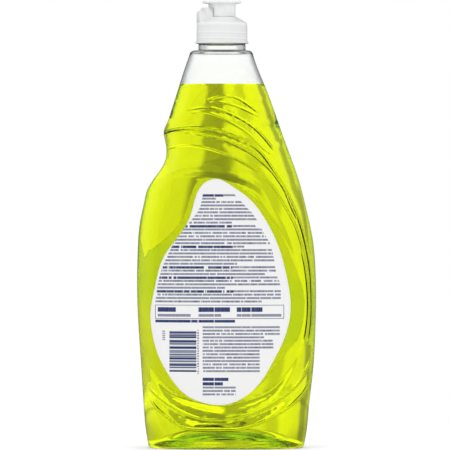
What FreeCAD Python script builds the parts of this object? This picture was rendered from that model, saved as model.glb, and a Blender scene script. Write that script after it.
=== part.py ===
import FreeCAD, Part
import math
import os

# A clear, sculpted dish soap bottle with a push-pull closure.
# Millimetres, +Z up. The origin is the middle of the footprint, on the surface it stands on.
# The label panel that shows in the photograph faces -Y, and the bottle is the same on its +Y side.

Vec = FreeCAD.Vector
UP = Vec(0, 0, 1)

# Body, outside
body_height = 249.3
body_width = 112.0
body_depth = 70.0
body_wall = 0.6
shoulder_round = 2.8
shoulder_inset = 3.4
heel_round = 2.5
foot_ring = 2.0
push_up = 12.7
push_up_rings = (1.0, 0.94, 0.86, 0.76, 0.64, 0.5, 0.34, 0.18)

# Relief of the two faces
panel_recess = 1.3
panel_edge = 4.0
swoosh_depth = 1.7
leaf_depth = 1.1
tip_depth = 0.8
skirting_depth = 0.8
full_depth_width = 7.0
hollow_peak = 0.3

# Liquid
fill_share = 0.914
liquid_gap = 0.25

# Labels: thin film stuck in the panels
label_width = 87.5
label_height = 140.5
label_bottom = 27.7
label_middle = -3.9
label_film = 0.15
label_gap = 0.12

# Neck of the bottle
neck_offset = -3.0
collar_radius = 14.8
collar_height = 4.0
collar_wall = 1.2
finish_radius = 12.5
bore_radius = 10.8
lip_height = 16.7
lip_round = 0.5
thread_pitch = 3.175
thread_reach = 1.1
thread_foot = 1.6
thread_crest = 0.8
thread_turns = 1.75
thread_start = 7.2
thread_root = 0.15

# Sealing washer
washer_thickness = 0.9
washer_rim = 0.9
seat_gap = 0.03

# Closure
skirt_radius = 15.9
skirt_wall = 1.6
skirt_gap = 0.3
flare_reach = 0.8
flare_height = 1.6
skirt_round = 0.25
dome_height = 3.4
dome_rise = 3.8
dome_round = 1.8
dome_wall = 1.3
dome_land = 0.5
moulding_round = 0.15
thread_clearance = 0.4
chimney_radius = 6.6
chimney_wall = 1.2
chimney_height = 7.4
chimney_bead = 0.35
chimney_bead_height = 1.2
post_radius = 2.2
post_tip = 0.3
spoke_count = 3
spoke_width = 1.2
spoke_height = 1.6

# Guard beside the spout, part of the closure
guard_half_width = 7.5
guard_wall = 1.3
guard_height = 5.8
guard_chamfer = 3.4
guard_gap = 0.85
guard_floor = 1.3
guard_round = 0.4
guard_cut = 1.0

# Pull spout
spout_radius = 8.5
spout_height = 9.8
spout_lift_gap = 0.15
slide_clearance = 0.05
flange_radius = 12.2
flange_thickness = 1.3
flange_cone = 0.5
flange_round = 0.45
spout_round = 0.5
orifice_clearance = 0.06
catch_height = 1.2
cap_plate = 1.7

# How finely the free-form faces are drawn
columns = 40
row_step = 4.2
corner_rows = 4
label_margin_rows = 4
label_margin_columns = 4


# The body's outline from the front, in shares of the height and of half the width
left_edge = [
    (0.000, 0.874), (0.030, 0.898), (0.100, 0.929), (0.200, 0.958), (0.300, 0.988),
    (0.400, 1.006), (0.470, 1.002), (0.530, 0.991), (0.580, 0.963), (0.620, 0.924),
    (0.650, 0.889), (0.668, 0.844), (0.690, 0.773), (0.710, 0.716), (0.730, 0.683),
    (0.745, 0.676), (0.762, 0.683), (0.778, 0.698), (0.790, 0.707), (0.802, 0.701),
    (0.815, 0.675), (0.840, 0.634), (0.900, 0.549), (0.950, 0.479), (1.000, 0.400),
]
right_edge = [
    (0.000, 0.860), (0.030, 0.888), (0.100, 0.920), (0.200, 0.970), (0.300, 0.994),
    (0.400, 1.001), (0.450, 0.995), (0.520, 0.967), (0.600, 0.893), (0.680, 0.799),
    (0.760, 0.671), (0.800, 0.607), (0.840, 0.545), (0.880, 0.482), (0.920, 0.411),
    (0.960, 0.338), (1.000, 0.280),
]

# Half the depth in shares of half body_depth, and how square the section is, up the height
depth_edge = [
    (0.000, 0.930), (0.100, 0.972), (0.250, 0.998), (0.400, 1.000), (0.550, 0.975),
    (0.700, 0.890), (0.850, 0.745), (0.930, 0.650), (1.000, 0.560),
]
squareness = [(0.000, 2.70), (0.350, 2.60), (0.600, 2.40), (0.800, 2.20), (1.000, 2.05)]

# Lines of the relief: (x in shares of half the width, z in shares of the height)
swoosh_top = [
    (-0.850, 0.778), (-0.650, 0.796), (-0.400, 0.803), (-0.110, 0.798), (0.159, 0.774), (0.372, 0.743),
    (0.540, 0.690), (0.709, 0.623), (0.860, 0.530), (0.945, 0.421),
]
swoosh_bottom = [
    (-0.800, 0.742), (-0.615, 0.755), (-0.379, 0.758), (-0.054, 0.740), (0.260, 0.706), (0.490, 0.663),
    (0.641, 0.608), (0.776, 0.550), (0.860, 0.480), (0.915, 0.421),
]
leaf_top = [
    (-0.520, 0.846), (-0.260, 0.854), (-0.087, 0.849), (0.103, 0.832), (0.265, 0.810),
    (0.406, 0.781), (0.571, 0.733),
]
leaf_bottom = [
    (-0.480, 0.840), (-0.260, 0.842), (-0.087, 0.832), (0.081, 0.812), (0.255, 0.786),
    (0.406, 0.752), (0.563, 0.730),
]
tip_top = [(-0.222, 0.873), (-0.087, 0.881), (0.040, 0.882), (0.180, 0.870), (0.399, 0.833)]
tip_bottom = [(-0.200, 0.868), (-0.060, 0.867), (0.060, 0.861), (0.200, 0.849), (0.380, 0.829)]
ring_bottom = [
    (0.970, 0.252), (0.888, 0.200), (0.776, 0.160), (0.608, 0.129), (0.372, 0.099), (0.114, 0.081),
    (-0.132, 0.074), (-0.323, 0.079), (-0.514, 0.096), (-0.738, 0.127), (-0.884, 0.159),
]
skirting = [
    (1.000, 0.205), (0.880, 0.150), (0.709, 0.109), (0.541, 0.086), (0.339, 0.064), (0.114, 0.051),
    (-0.132, 0.051), (-0.446, 0.053), (-0.637, 0.076), (-0.800, 0.108), (-0.861, 0.139),
]
panel_outline = [
    (-0.775, 0.666), (-0.559, 0.682), (-0.278, 0.688), (0.047, 0.677), (0.339, 0.648),
    (0.470, 0.605), (0.597, 0.560), (0.731, 0.497), (0.850, 0.421), (0.885, 0.371),
    (0.866, 0.305), (0.787, 0.228), (0.664, 0.179), (0.473, 0.134), (0.137, 0.103),
    (-0.132, 0.098), (-0.514, 0.119), (-0.714, 0.150), (-0.849, 0.196), (-0.910, 0.250),
    (-0.940, 0.311), (-0.951, 0.371), (-0.918, 0.497), (-0.895, 0.600), (-0.880, 0.648),
]

# The label's outline: (x, z) in shares of its half width and its height, from the tip round
label_outline = [
    (-0.101, 1.000), (-0.266, 0.972), (-0.374, 0.899), (-0.489, 0.797), (-0.770, 0.675),
    (-0.900, 0.570), (-0.975, 0.460), (-0.998, 0.380), (-0.950, 0.282), (-0.845, 0.191),
    (-0.660, 0.098), (-0.417, 0.030), (-0.072, 0.000), (0.240, 0.018), (0.540, 0.090),
    (0.760, 0.200), (0.915, 0.300), (0.998, 0.430), (0.940, 0.570), (0.820, 0.705),
    (0.620, 0.830), (0.400, 0.915), (0.150, 0.972), (0.020, 0.996),
]


# Places that follow from the sizes above
half_width = body_width / 2
half_depth = body_depth / 2
neck_foot = body_height
lip_z = neck_foot + lip_height
washer_z = lip_z + seat_gap
closure_seat_z = washer_z + washer_thickness + seat_gap
washer_outer = finish_radius + washer_rim
skirt_inner = skirt_radius - skirt_wall
skirt_z = neck_foot + collar_height + skirt_gap
cap_thread_reach = skirt_inner - finish_radius - thread_clearance
dome_top_z = closure_seat_z + dome_height
dome_edge_z = dome_top_z - dome_rise
spout_z = dome_top_z + spout_lift_gap
spout_top_z = spout_z + spout_height
chimney_top_z = dome_top_z + chimney_height
fill_z = body_height * fill_share


class Spline:
    """A natural cubic spline through hand-placed knots (parameter, value)."""

    def __init__(self, knots):
        self.t = [k[0] for k in knots]
        self.v = [k[1] for k in knots]
        count = len(knots)
        self.bend = [0.0] * count
        slope = [0.0] * count
        for i in range(1, count - 1):
            before = self.t[i] - self.t[i - 1]
            after = self.t[i + 1] - self.t[i]
            turn = (self.v[i + 1] - self.v[i]) / after - (self.v[i] - self.v[i - 1]) / before
            weight = before / (before + after)
            scale = weight * self.bend[i - 1] + 2.0
            self.bend[i] = (weight - 1.0) / scale
            slope[i] = (6.0 * turn / (before + after) - weight * slope[i - 1]) / scale
        for i in range(count - 2, -1, -1):
            self.bend[i] = self.bend[i] * self.bend[i + 1] + slope[i]

    def __call__(self, t):
        last = len(self.t) - 2
        i = 0
        while i < last and t > self.t[i + 1]:
            i += 1
        width = self.t[i + 1] - self.t[i]
        a = (self.t[i + 1] - t) / width
        b = (t - self.t[i]) / width
        bow = (a ** 3 - a) * self.bend[i] + (b ** 3 - b) * self.bend[i + 1]
        return a * self.v[i] + b * self.v[i + 1] + bow * width * width / 6.0


def smooth_step(t):
    """0 below 0, 1 above 1, with an even curve between."""
    t = min(1.0, max(0.0, t))
    return t * t * (3.0 - 2.0 * t)


def face_line(shares, steps=6):
    """A smooth line on the face, as points in millimetres, through points given in shares."""
    along = list(range(len(shares)))
    x_of = Spline([(k, shares[k][0] * half_width) for k in along])
    z_of = Spline([(k, shares[k][1] * body_height) for k in along])
    last = len(shares) - 1
    return [(x_of(k / steps), z_of(k / steps)) for k in range(last * steps + 1)]


def distance(line, x, z):
    """Distance from a point to a line, its side of the line, and whether it is past an end."""
    best = 1e9
    side = 1.0
    past_end = False
    last = len(line) - 2
    for k in range(last + 1):
        ax, az = line[k]
        bx, bz = line[k + 1]
        ux = bx - ax
        uz = bz - az
        wx = x - ax
        wz = z - az
        share = (wx * ux + wz * uz) / (ux * ux + uz * uz)
        held = max(0.0, min(1.0, share))
        dx = wx - held * ux
        dz = wz - held * uz
        square = dx * dx + dz * dz
        if square < best:
            best = square
            side = 1.0 if ux * wz - uz * wx > 0.0 else -1.0
            past_end = (k == 0 and share < 0.0) or (k == last and share > 1.0)
    return math.sqrt(best), side, past_end


class Band:
    """A hollow between two lines: steep under the first, fading out towards the second."""

    def __init__(self, first, second, depth):
        self.first = face_line(first)
        self.second = face_line(second)
        self.depth = depth
        points = self.first + self.second
        self.low = min(p[1] for p in points)
        self.high = max(p[1] for p in points)

    def __call__(self, x, z):
        if z < self.low or z > self.high:
            return 0.0
        from_first, first_side, first_past = distance(self.first, x, z)
        from_second, second_side, second_past = distance(self.second, x, z)
        if first_side > 0.0 or second_side < 0.0 or (first_past and second_past):
            return 0.0
        across = from_first + from_second
        share = from_first / across
        if share < hollow_peak:
            shape = smooth_step(share / hollow_peak)
        else:
            shape = smooth_step((1.0 - share) / (1.0 - hollow_peak))
        return self.depth * shape * min(1.0, across / full_depth_width)


bands = [
    Band(swoosh_top, swoosh_bottom, swoosh_depth),
    Band(leaf_top, leaf_bottom, leaf_depth),
    Band(tip_top, tip_bottom, tip_depth),
    Band(ring_bottom[::-1], skirting[::-1], skirting_depth),
]
panel_line = face_line(panel_outline + panel_outline[:1])
left_of = Spline(left_edge)
right_of = Spline(right_edge)
depth_of = Spline(depth_edge)
square_of = Spline(squareness)


def relief(x, z):
    """How far the face lies inside its plain form at a place on it."""
    total = sum(band(x, z) for band in bands)
    from_edge, side, _ = distance(panel_line, x, z)
    inside = -side * from_edge
    return total + panel_recess * smooth_step(inside / panel_edge + 0.5)


def section(z, inset):
    """Middle, half width, half depth and squareness of the body at a height."""
    share = z / body_height
    left = -left_of(share) * half_width
    right = right_of(share) * half_width
    middle = (left + right) / 2
    return middle, (right - left) / 2 - inset, depth_of(share) * half_depth - inset, square_of(share)


def half_ring(middle, wide, deep, square, z, relief_z=None):
    """Half of one level line round the body, from the right parting line to the left."""
    points = []
    for k in range(columns + 1):
        angle = math.pi * k / columns
        c = math.cos(angle)
        s = math.sin(angle)
        reach = (abs(c) ** square + abs(s) ** square) ** (-1.0 / square)
        x = middle + wide * reach * c
        y = deep * reach * s
        if relief_z is not None:
            y *= 1.0 - relief(x, relief_z) / deep
        if k in (0, columns):
            y = 0.0
        points.append(Vec(x, -y, z))
    return points


def wall_rows(inset, top=None):
    """Rows of points down one half of the wall, from the shoulder or a level, and round the heel."""
    rows = []
    shoulder_z = body_height - shoulder_round
    if top is None:
        middle, wide, deep, square = section(shoulder_z, inset)
        crown = body_height - inset
        for k in range(corner_rows + 1):
            turn = math.pi / 2 * (1 - k / (corner_rows + 1))
            pull = shoulder_inset * (1 - math.cos(turn))
            level = shoulder_z + (crown - shoulder_z) * math.sin(turn)
            rows.append(half_ring(middle, wide - pull, deep - pull, square, level))
        top = shoulder_z
    count = int((top - heel_round) / row_step)
    for k in range(count + 1):
        z = top + (heel_round - top) * k / count
        middle, wide, deep, square = section(z, inset)
        rows.append(half_ring(middle, wide, deep, square, z, z))
    heel = heel_round - inset
    middle, wide, deep, square = section(heel_round, inset)
    for k in range(1, corner_rows + 1):
        turn = math.pi / 2 * k / corner_rows
        pull = heel * (1 - math.cos(turn))
        level = heel_round - heel * math.sin(turn)
        rows.append(half_ring(middle, wide - pull, deep - pull, square, level))
    return rows


def push_up_rows(inset):
    """Rows of points from the inner edge of the foot ring up into the pushed-up base."""
    middle, wide, deep, square = section(heel_round, 0.0)
    pull = heel_round + foot_ring - inset
    rows = []
    for share in push_up_rings:
        level = inset + push_up * (1 - share ** 3)
        rows.append(half_ring(middle, (wide - pull) * share, (deep - pull) * share, square, level))
    return rows


def smooth_surface(rows):
    """A bicubic surface that follows a grid of points and passes through its border rows."""
    degree = 3
    surface = Part.BSplineSurface()
    knots = []
    mults = []
    for count in (len(rows), len(rows[0])):
        spans = count - degree
        knots.append([float(k) for k in range(spans + 1)])
        mults.append([degree + 1] + [1] * (spans - 1) + [degree + 1])
    surface.buildFromPolesMultsKnots(rows, mults[0], mults[1], knots[0], knots[1],
                                     False, False, degree, degree)
    return surface.toShape()


def row_face(wire_edges):
    """A flat face inside a closed level line."""
    return Part.Face(Part.Wire(Part.__sortEdges__(wire_edges)))


def level_edges(face, z):
    """The edges of a face that lie wholly at one height."""
    found = []
    for edge in face.Edges:
        first, last = edge.ParameterRange
        spots = [edge.valueAt(first + (last - first) * k / 4) for k in range(5)]
        if max(abs(spot.z - z) for spot in spots) < 1e-4:
            found.append(edge)
    return found


def half_faces(rows):
    """A free-form face and its mirror, and the edges along the first and the last row."""
    front = smooth_surface(rows)
    back = front.mirror(Vec(0, 0, 0), Vec(0, 1, 0))
    first = level_edges(front, rows[0][0].z) + level_edges(back, rows[0][0].z)
    last = level_edges(front, rows[-1][0].z) + level_edges(back, rows[-1][0].z)
    return [front, back], first, last


def wall_faces(inset, top=None):
    """The faces of a wall with its foot ring and pushed-up base, and the edges at its top."""
    sides, crown, foot = half_faces(wall_rows(inset, top))
    dome, dome_foot, dome_top = half_faces(push_up_rows(inset))
    ring = row_face(foot).cut(row_face(dome_foot))
    return sides + dome + ring.Faces + [row_face(dome_top)], crown


def closed_solid(faces):
    """One solid bounded by faces that meet edge to edge."""
    shell = Part.makeShell(faces)
    shell.sewShape()
    solid = Part.makeSolid(shell)
    if solid.Volume < 0:
        solid.reverse()
    return solid


def disc(radius, z):
    """A flat round face about the neck's axis."""
    return Part.Face(Part.Wire(Part.makeCircle(radius, Vec(neck_offset, 0, z))))


def rounded_wire(corners):
    """A closed wire in the XZ plane through (x, z) or (x, z, round) corners."""
    places = [Vec(c[0], 0, c[1]) for c in corners]
    stops = []
    for k, corner in enumerate(corners):
        here = places[k]
        if len(corner) < 3:
            stops.append((here, None, here))
            continue
        before = (places[k - 1] - here).normalize()
        after = (places[(k + 1) % len(corners)] - here).normalize()
        half = before.getAngle(after) / 2
        reach = corner[2] / math.tan(half)
        middle = (before + after).normalize() * (corner[2] / math.sin(half) - corner[2])
        stops.append((here + before * reach, here + middle, here + after * reach))
    edges = []
    for k, (start, middle, end) in enumerate(stops):
        if middle is not None:
            edges.append(Part.Arc(start, middle, end).toShape())
        following = stops[(k + 1) % len(stops)][0]
        if end.distanceToPoint(following) > 1e-6:
            edges.append(Part.LineSegment(end, following).toShape())
    return Part.Wire(edges)


def turned(profile):
    """A solid turned about the neck's axis from (radius, height) corners, rounded where they say."""
    corners = [(neck_offset + c[0],) + tuple(c[1:]) for c in profile]
    return Part.Face(rounded_wire(corners)).revolve(Vec(neck_offset, 0, 0), UP, 360)


def tube(inner, outer, low, high):
    """A plain tube about the neck's axis."""
    return turned([(inner, low), (outer, low), (outer, high), (inner, high)])


def screw_ridge(root_radius, reach, start_z, turns):
    """A right-handed screw ridge: reach is outward if positive, inward if negative."""
    height = thread_pitch * turns
    helix = Part.makeHelix(thread_pitch, height, root_radius)
    foot = thread_foot / 2
    crest = thread_crest / 2
    tip = root_radius + reach
    buried = root_radius - math.copysign(thread_root, reach)
    corners = [Vec(buried, 0, -foot), Vec(tip, 0, -crest), Vec(tip, 0, crest), Vec(buried, 0, foot)]
    outline = Part.makePolygon(corners + corners[:1])
    ridge = Part.Wire(helix).makePipeShell([outline], True, True)
    ridge.translate(Vec(neck_offset, 0, start_z))
    return ridge


def make_bottle():
    """The blown bottle: free-form wall, flat shoulder round the neck, collar, finish and thread."""
    outer, outer_crown = wall_faces(0.0)
    inner, inner_crown = wall_faces(body_wall)
    inner_top = body_height - body_wall
    collar_bore = collar_radius - collar_wall
    collar_top = body_height + collar_height
    shoulder = row_face(outer_crown).cut(disc(collar_radius, body_height))
    ceiling = row_face(inner_crown).cut(disc(collar_bore, inner_top))
    profile = [
        (collar_radius, body_height),
        (collar_radius, collar_top - lip_round),
        (collar_radius - lip_round, collar_top),
        (finish_radius, collar_top),
        (finish_radius, lip_z - lip_round),
        (finish_radius - lip_round, lip_z),
        (bore_radius, lip_z),
        (bore_radius, collar_top),
        (collar_bore, collar_top - collar_radius + finish_radius),
        (collar_bore, inner_top),
    ]
    points = [Vec(neck_offset + r, 0, z) for r, z in profile]
    neck = Part.makePolygon(points).revolve(Vec(neck_offset, 0, 0), UP, 360)
    faces = outer + inner + shoulder.Faces + ceiling.Faces + neck.Faces
    shell = closed_solid(faces)
    ridge = screw_ridge(finish_radius, thread_reach, neck_foot + thread_start, thread_turns)
    return shell.fuse(ridge).Solids[0]


def make_soap():
    """The liquid, just clear of the bottle's wall, with its level top."""
    faces, crown = wall_faces(body_wall + liquid_gap, fill_z)
    return closed_solid(faces + [row_face(crown)])


def make_label():
    """A thin film that follows the floor of the panel on the -Y side."""
    margin = label_margin_rows * row_step
    low = max(heel_round, label_bottom - margin)
    high = label_bottom + label_height + margin
    rows = [row for row in wall_rows(0.0) if low <= row[0].z <= high]
    rows = [row[label_margin_columns:-label_margin_columns] for row in rows]
    near = smooth_surface([[p - Vec(0, label_gap, 0) for p in row] for row in rows])
    far = smooth_surface([[p - Vec(0, label_gap + label_film, 0) for p in row] for row in rows])
    sides = [Part.makeRuledSurface(a, b) for a, b in zip(near.Edges, far.Edges)]
    sheet = closed_solid([near, far] + sides)
    drawn = Part.BSplineCurve()
    around = [Vec(label_middle + x * label_width / 2, 0, label_bottom + z * label_height)
              for x, z in label_outline]
    drawn.interpolate(around, True)
    cutter = Part.Face(Part.Wire(drawn.toShape())).extrude(Vec(0, -body_depth, 0))
    return sheet.common(cutter).Solids[0]


def make_seal_ring():
    """The flat washer on the lip of the neck."""
    return tube(bore_radius, washer_outer, washer_z, washer_z + washer_thickness)


def make_guard():
    """The hollow guard that wraps the spout's -X side, open at its top."""
    inner = spout_radius + guard_gap
    top = dome_top_z + guard_height
    floor = dome_top_z + guard_floor
    left = neck_offset - skirt_radius
    outline = Part.Face(rounded_wire([
        (left, dome_edge_z),
        (left, top - guard_chamfer, guard_round),
        (left + guard_chamfer, top, guard_round),
        (neck_offset, top),
        (neck_offset, dome_edge_z),
    ]))
    outline.translate(Vec(0, -guard_half_width, 0))
    guard = outline.extrude(Vec(0, 2 * guard_half_width, 0))
    guard = guard.common(tube(inner, skirt_radius, dome_edge_z, top))
    guard = guard.makeFillet(guard_round, guard_corners(guard, top))
    sink = dome_wall / 2
    guard = guard.cut(turned([
        (0, dome_edge_z - dome_rise),
        (skirt_radius - sink, dome_edge_z - dome_rise),
        (skirt_radius - sink, dome_edge_z - sink),
        (spout_radius + dome_land, dome_top_z - sink),
        (0, dome_top_z - sink),
    ]))
    pocket_half = guard_half_width - guard_wall
    pocket = Part.makeBox(skirt_radius, 2 * pocket_half, top + guard_cut - floor,
                          Vec(left, -pocket_half, floor))
    round_part = tube(inner + guard_wall, skirt_radius - guard_wall, floor, top + guard_cut)
    return guard.cut(pocket.common(round_part))


def guard_corners(guard, top):
    """The long upper edges of the guard's two flat flanks."""
    found = []
    for edge in guard.Edges:
        box = edge.BoundBox
        flank = abs(abs(box.YMin) - guard_half_width) < 1e-4 and box.YLength < 1e-4
        if flank and abs(box.ZMin - top) < 1e-4 and box.ZLength < 1e-4:
            found.append(edge)
    return found


def make_closure():
    """The screw closure: skirt, dome, chimney, post on its spokes, inner thread and guard."""
    seat = closure_seat_z
    chimney_inner = chimney_radius - chimney_wall
    bead_z = chimney_top_z - chimney_bead_height
    locating_z = washer_z + washer_thickness / 2
    shell = turned([
        (skirt_inner + flare_reach, skirt_z, skirt_round),
        (skirt_radius + flare_reach, skirt_z, skirt_round),
        (skirt_radius + flare_reach, skirt_z + flare_height / 2, skirt_round),
        (skirt_radius, skirt_z + flare_height, skirt_round),
        (skirt_radius, dome_edge_z, dome_round),
        (spout_radius + dome_land, dome_top_z, dome_land),
        (chimney_radius, dome_top_z),
        (chimney_radius, bead_z),
        (chimney_radius + chimney_bead, bead_z + chimney_bead, moulding_round),
        (chimney_radius, chimney_top_z, moulding_round),
        (chimney_inner, chimney_top_z, moulding_round),
        (chimney_inner, dome_top_z - dome_wall),
        (bore_radius, seat + dome_wall / 2),
        (bore_radius, seat),
        (washer_outer + seat_gap, seat),
        (washer_outer + seat_gap, locating_z),
        (skirt_inner, locating_z),
        (skirt_inner, skirt_z + flare_height),
    ])
    post_top = spout_top_z - post_tip
    post = turned([
        (0, dome_top_z - dome_wall),
        (post_radius, dome_top_z - dome_wall),
        (post_radius, post_top, post_tip),
        (0, post_top),
    ])
    closure = shell.fuse(post)
    for k in range(spoke_count):
        spoke = Part.makeBox(chimney_inner + chimney_wall / 2, spoke_width, spoke_height,
                             Vec(neck_offset, -spoke_width / 2, dome_top_z - dome_wall))
        spoke.rotate(Vec(neck_offset, 0, 0), UP, 360.0 * k / spoke_count + 90)
        closure = closure.fuse(spoke)
    ridge_z = neck_foot + thread_start - thread_pitch / 2
    ridge = screw_ridge(skirt_inner, -cap_thread_reach, ridge_z, thread_turns)
    return closure.fuse(ridge).fuse(make_guard()).Solids[0]


def make_pull_spout():
    """The spout that slides on the chimney: flange on top, catch ring inside its foot."""
    bore = chimney_radius + chimney_bead + slide_clearance
    catch = chimney_radius + slide_clearance
    plate = spout_top_z - cap_plate
    orifice = post_radius + orifice_clearance
    return turned([
        (catch, spout_z, moulding_round),
        (spout_radius, spout_z, moulding_round),
        (spout_radius, spout_top_z - flange_thickness - flange_cone, spout_round),
        (flange_radius, spout_top_z - flange_thickness, flange_round),
        (flange_radius, spout_top_z, flange_round),
        (orifice, spout_top_z, moulding_round),
        (orifice, plate),
        (bore, plate),
        (bore, spout_z + catch_height + chimney_bead),
        (catch, spout_z + catch_height, moulding_round),
    ])


os.makedirs("parts", exist_ok=True)
back_label = make_label()
pieces = {
    "bottle": make_bottle(),
    "soap": make_soap(),
    "back_label": back_label,
    "front_label": back_label.mirror(Vec(0, 0, 0), Vec(0, 1, 0)),
    "seal_ring": make_seal_ring(),
    "closure": make_closure(),
    "pull_spout": make_pull_spout(),
}
for name, shape in pieces.items():
    shape.exportStep("parts/" + name + ".step")
    print(name, shape.ShapeType, shape.isValid(), len(shape.Solids), round(shape.Volume, 1))
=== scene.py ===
"""Looks of a clear, sculpted dish soap bottle with a push-pull closure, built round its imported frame."""

import bmesh
import bpy
import numpy as np
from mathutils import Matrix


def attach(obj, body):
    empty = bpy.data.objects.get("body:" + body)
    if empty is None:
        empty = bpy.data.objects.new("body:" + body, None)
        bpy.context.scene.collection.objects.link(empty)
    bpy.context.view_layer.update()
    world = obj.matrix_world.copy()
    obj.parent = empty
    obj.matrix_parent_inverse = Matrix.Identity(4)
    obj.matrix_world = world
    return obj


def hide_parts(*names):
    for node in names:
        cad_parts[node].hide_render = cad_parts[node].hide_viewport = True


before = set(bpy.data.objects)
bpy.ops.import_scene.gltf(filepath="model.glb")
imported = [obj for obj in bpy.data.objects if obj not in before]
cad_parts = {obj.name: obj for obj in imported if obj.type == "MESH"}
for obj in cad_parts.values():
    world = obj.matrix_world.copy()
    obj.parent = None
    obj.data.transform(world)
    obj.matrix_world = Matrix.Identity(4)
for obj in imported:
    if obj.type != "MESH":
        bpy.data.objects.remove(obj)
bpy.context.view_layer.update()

bl_info = {
    "name": "Dish Soap Bottle",
    "version": (1, 0, 0),
    "blender": (4, 5, 0),
    "location": "View3D > Sidebar > Soap Bottle",
    "description": "Builds a clear sculpted bottle of dish soap, its labels, its closure and its stage",
    "category": "Add Mesh",
}

MM = 0.001

# The frame's meshes: points this close are one, edges sharper than this angle stay sharp
MERGE_DISTANCE, SHARP_ANGLE = 0.004 * MM, 0.6

# Shares: where the base's dome starts, the label's middle, and how fast the thread's ends fade
DOME_START, FAN_HEIGHT, THREAD_FADE = 0.06, 0.42, 14

# Sizes of the label's rounded rim and of a crease, and scales of the noise in the plastics and the foam
RIM_ROUND, CREASE_WIDTH, CREASE_HEIGHT = 0.08 * MM, 1.1 * MM, 0.38 * MM
GRAIN_SCALE, CLOUD_SCALE, PORE_SCALE = 1400, 90, 2600


# Shapes, in the same words and shares as the bottle's solid

LEFT_EDGE = [
    (0, 0.874), (0.03, 0.898), (0.1, 0.929), (0.2, 0.958), (0.3, 0.988),
    (0.4, 1.006), (0.47, 1.002), (0.53, 0.991), (0.58, 0.963), (0.62, 0.924),
    (0.65, 0.889), (0.668, 0.844), (0.69, 0.773), (0.71, 0.716), (0.73, 0.683),
    (0.745, 0.676), (0.762, 0.683), (0.778, 0.698), (0.79, 0.707), (0.802, 0.701),
    (0.815, 0.675), (0.84, 0.634), (0.9, 0.549), (0.95, 0.479), (1, 0.4),
]
RIGHT_EDGE = [
    (0, 0.86), (0.03, 0.888), (0.1, 0.92), (0.2, 0.97), (0.3, 0.994),
    (0.4, 1.001), (0.45, 0.995), (0.52, 0.967), (0.6, 0.893), (0.68, 0.799),
    (0.76, 0.671), (0.8, 0.607), (0.84, 0.545), (0.88, 0.482), (0.92, 0.411),
    (0.96, 0.338), (1, 0.28),
]
DEPTH_EDGE = [
    (0, 0.93), (0.1, 0.972), (0.25, 0.998), (0.4, 1), (0.55, 0.975),
    (0.7, 0.89), (0.85, 0.745), (0.93, 0.65), (1, 0.56),
]
SQUARENESS = [(0, 2.7), (0.35, 2.6), (0.6, 2.4), (0.8, 2.2), (1, 2.05)]

SWOOSH_TOP = [
    (-0.85, 0.778), (-0.65, 0.796), (-0.4, 0.803), (-0.11, 0.798), (0.159, 0.774), (0.372, 0.743),
    (0.54, 0.69), (0.709, 0.623), (0.86, 0.53), (0.945, 0.421),
]
SWOOSH_BOTTOM = [
    (-0.8, 0.742), (-0.615, 0.755), (-0.379, 0.758), (-0.054, 0.74), (0.26, 0.706), (0.49, 0.663),
    (0.641, 0.608), (0.776, 0.55), (0.86, 0.48), (0.915, 0.421),
]
LEAF_TOP = [
    (-0.52, 0.846), (-0.26, 0.854), (-0.087, 0.849), (0.103, 0.832), (0.265, 0.81),
    (0.406, 0.781), (0.571, 0.733),
]
LEAF_BOTTOM = [
    (-0.48, 0.84), (-0.26, 0.842), (-0.087, 0.832), (0.081, 0.812), (0.255, 0.786),
    (0.406, 0.752), (0.563, 0.73),
]
TIP_TOP = [(-0.222, 0.873), (-0.087, 0.881), (0.04, 0.882), (0.18, 0.87), (0.399, 0.833)]
TIP_BOTTOM = [(-0.2, 0.868), (-0.06, 0.867), (0.06, 0.861), (0.2, 0.849), (0.38, 0.829)]
RING_BOTTOM = [
    (0.97, 0.252), (0.888, 0.2), (0.776, 0.16), (0.608, 0.129), (0.372, 0.099), (0.114, 0.081),
    (-0.132, 0.074), (-0.323, 0.079), (-0.514, 0.096), (-0.738, 0.127), (-0.884, 0.159),
]
SKIRTING = [
    (1, 0.205), (0.88, 0.15), (0.709, 0.109), (0.541, 0.086), (0.339, 0.064), (0.114, 0.051),
    (-0.132, 0.051), (-0.446, 0.053), (-0.637, 0.076), (-0.8, 0.108), (-0.861, 0.139),
]
PANEL_OUTLINE = [
    (-0.775, 0.666), (-0.559, 0.682), (-0.278, 0.688), (0.047, 0.677), (0.339, 0.648),
    (0.47, 0.605), (0.597, 0.56), (0.731, 0.497), (0.85, 0.421), (0.885, 0.371),
    (0.866, 0.305), (0.787, 0.228), (0.664, 0.179), (0.473, 0.134), (0.137, 0.103),
    (-0.132, 0.098), (-0.514, 0.119), (-0.714, 0.15), (-0.849, 0.196), (-0.91, 0.25),
    (-0.94, 0.311), (-0.951, 0.371), (-0.918, 0.497), (-0.895, 0.6), (-0.88, 0.648),
]
LABEL_OUTLINE = [
    (-0.101, 1), (-0.266, 0.972), (-0.374, 0.899), (-0.489, 0.797), (-0.77, 0.675),
    (-0.9, 0.57), (-0.975, 0.46), (-0.998, 0.38), (-0.95, 0.282), (-0.845, 0.191),
    (-0.66, 0.098), (-0.417, 0.03), (-0.072, 0), (0.24, 0.018), (0.54, 0.09),
    (0.76, 0.2), (0.915, 0.3), (0.998, 0.43), (0.94, 0.57), (0.82, 0.705),
    (0.62, 0.83), (0.4, 0.915), (0.15, 0.972), (0.02, 0.996),
]

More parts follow.
